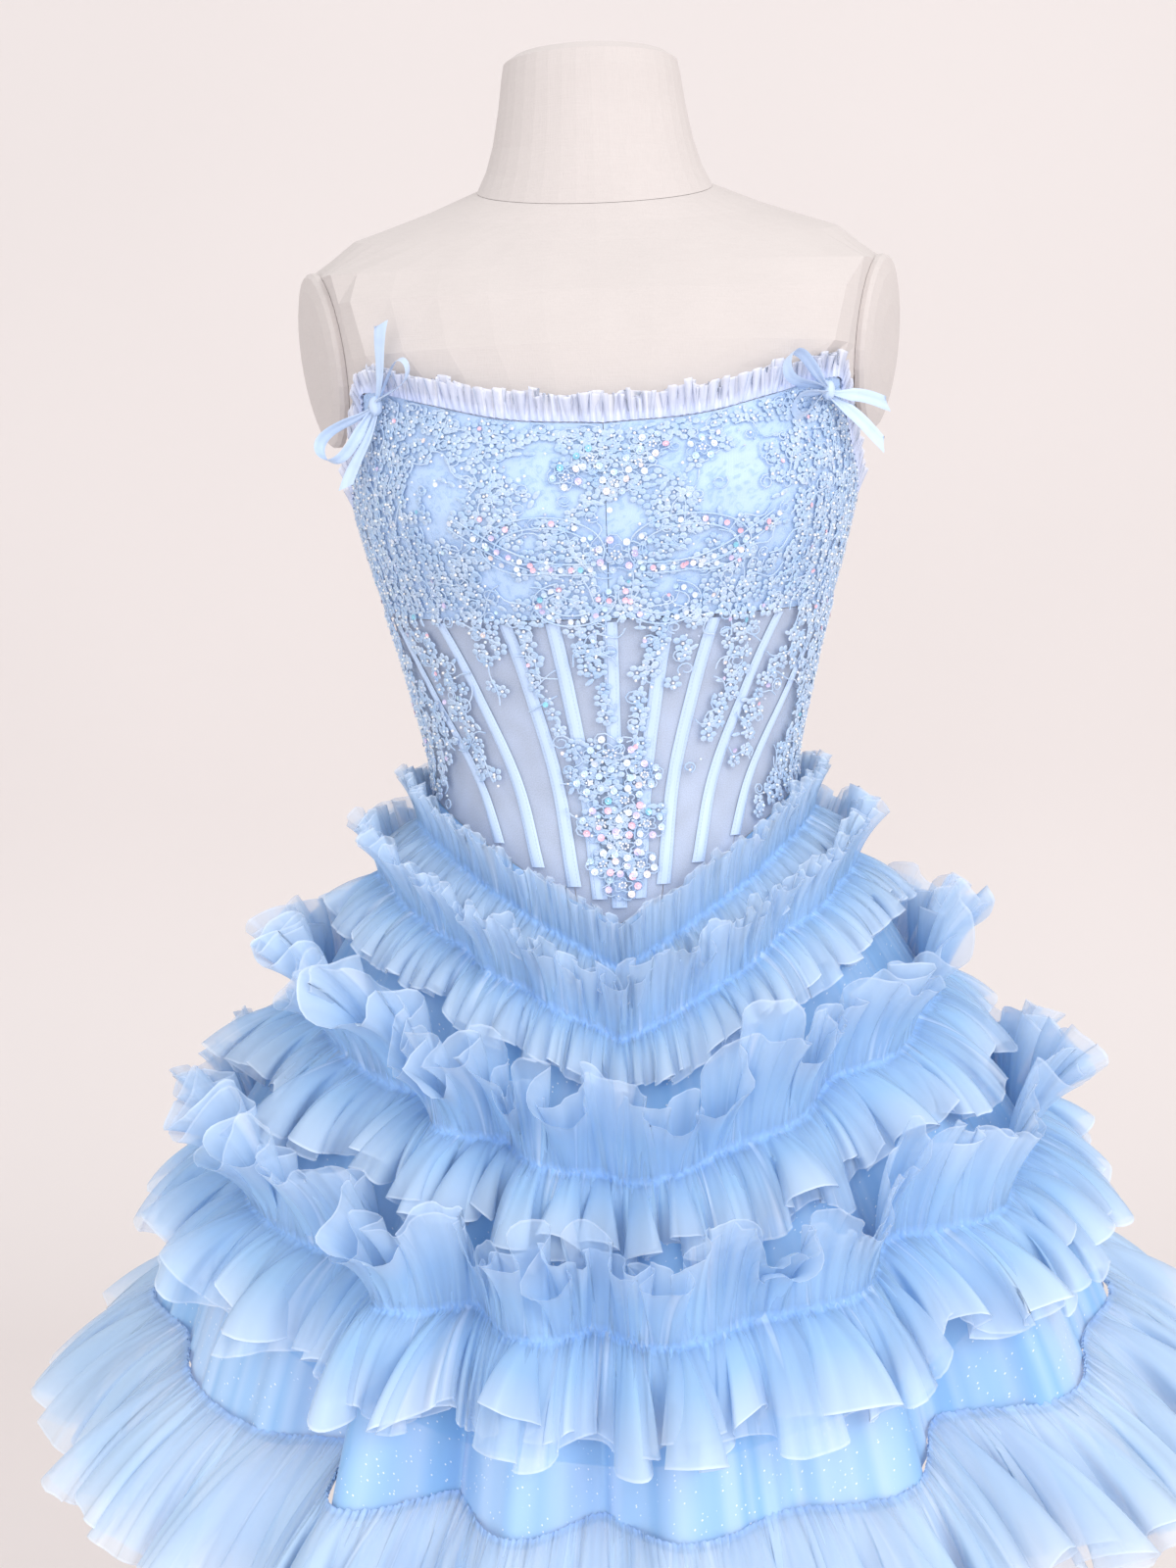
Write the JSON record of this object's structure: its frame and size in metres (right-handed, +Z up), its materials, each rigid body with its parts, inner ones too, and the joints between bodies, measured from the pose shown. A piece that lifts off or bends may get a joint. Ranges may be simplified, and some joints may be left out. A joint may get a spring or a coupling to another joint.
{
  "type": "homecoming dress on dress form",
  "caption": "Short strapless party dress with a boned sheer bodice, lace and gathered tulle tiers, worn by a limbless dress form on a pole stand.",
  "frame": {"origin": "centre of the underside of the stand's round base", "axes": "+Z up the pole, -Y towards the dress's centre front, +X to the right as seen from the front"},
  "size_m": [0.7767, 0.7524, 1.502],
  "materials": {
    "satin": "pale blue satin",
    "tulle": "pale blue gathered tulle",
    "glitter_tulle": "pale blue tulle with glitter",
    "lining": "blue satin lining",
    "lace": "corded lace with beads and sequins",
    "mesh": "sheer grey mesh",
    "linen": "cream linen over a hard form",
    "stand_paint": "off-white satin paint",
    "zip_tape": "pale blue closed zip",
    "steel": "bright zip metal"
  },
  "bodies": {
    "root": {"bone_0": "satin", "bone_1_left": "satin", "bone_1_right": "satin", "bone_2_left": "satin", "bone_2_right": "satin", "bone_3_left": "satin", "bone_3_right": "satin", "bone_4_left": "satin", "bone_4_right": "satin", "bone_5_left": "satin", "bone_5_right": "satin", "bone_6_left": "satin", "bone_6_right": "satin", "bow_left_knot": "satin", "bow_left_loop_lower": "satin", "bow_left_loop_upper": "satin", "bow_left_tail_lower": "satin", "bow_left_tail_upper": "satin", "bow_right_knot": "satin", "bow_right_loop_lower": "satin", "bow_right_loop_upper": "satin", "bow_right_tail_lower": "satin", "bow_right_tail_upper": "satin", "cup_left": "satin", "cup_right": "satin", "form_arm_plate_left": "linen", "form_arm_plate_right": "linen", "form_neck": "linen", "form_torso": "linen", "lace_bust_left": "lace", "lace_bust_right": "lace", "lace_front_spray": "lace", "lace_side_left": "lace", "lace_side_right": "lace", "mesh_back_left": "mesh", "mesh_back_right": "mesh", "mesh_front_centre": "mesh", "mesh_front_left": "mesh", "mesh_front_right": "mesh", "mesh_side_left": "mesh", "mesh_side_right": "mesh", "neckline_frill": "tulle", "skirt_lining": "lining", "skirt_overlay": "glitter_tulle", "stand_base": "stand_paint", "stand_flange": "stand_paint", "stand_pole": "stand_paint", "tier_1": "tulle", "tier_2": "tulle", "tier_3": "tulle", "tier_4": "tulle", "tier_5": "tulle", "zip_chain": "zip_tape", "zip_slider": "steel"},
    "pull": {"zip_pull": "steel"}
  },
  "joints": [
    {"name": "zip_pull_hinge", "type": "hinge", "parent": "root", "child": "pull", "pos_m": [0, 0.11299, 1.17378], "axis": [1, 0, 0], "range_deg": [0, 150]}
  ]
}
